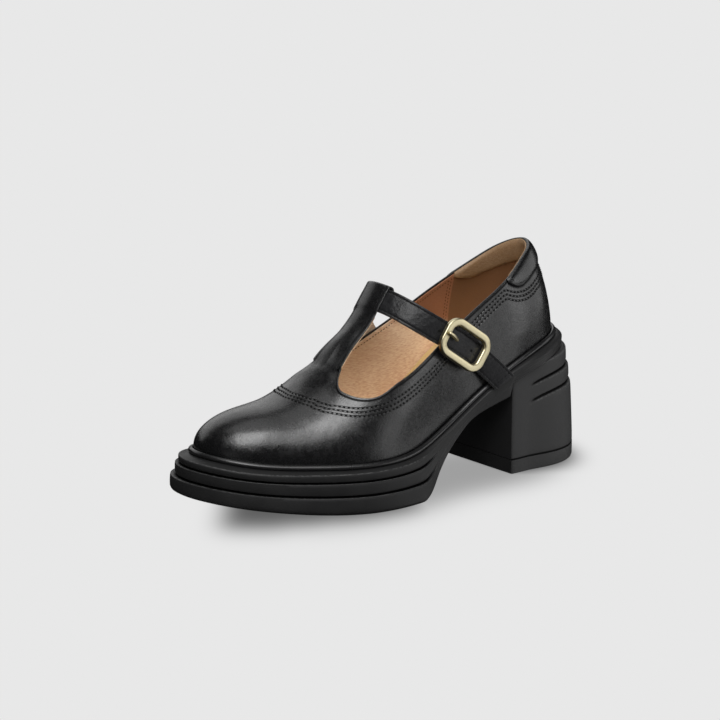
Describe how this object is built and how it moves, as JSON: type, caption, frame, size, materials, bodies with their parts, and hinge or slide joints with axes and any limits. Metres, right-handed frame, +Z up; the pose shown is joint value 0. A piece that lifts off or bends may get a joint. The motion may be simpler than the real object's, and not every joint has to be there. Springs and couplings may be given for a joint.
{
  "type": "block heel pump",
  "caption": "Left block heel pump with a closed round toe, stepped platform sole, T-bar and buckled strap over the instep, low padded collar and an open hollow for the foot.",
  "frame": {"origin": "on the floor, under the middle of the shoe's outline", "axes": "+Z up, -Y from heel to toe, +X towards the outer side of the foot"},
  "size_m": [0.1006, 0.252, 0.1237],
  "materials": {
    "black_leather": "semi-gloss",
    "black_rubber": "satin",
    "tan_lining": "matte",
    "pale_gold": "satin"
  },
  "bodies": {
    "root": {"outsole": "black_rubber", "welt": "black_rubber", "heel": "black_rubber", "heel_tip": "black_rubber", "insole": "tan_lining", "upper": "black_leather", "strap": "black_leather", "buckle_frame": "pale_gold", "buckle_prong": "pale_gold"}
  },
  "joints": []
}
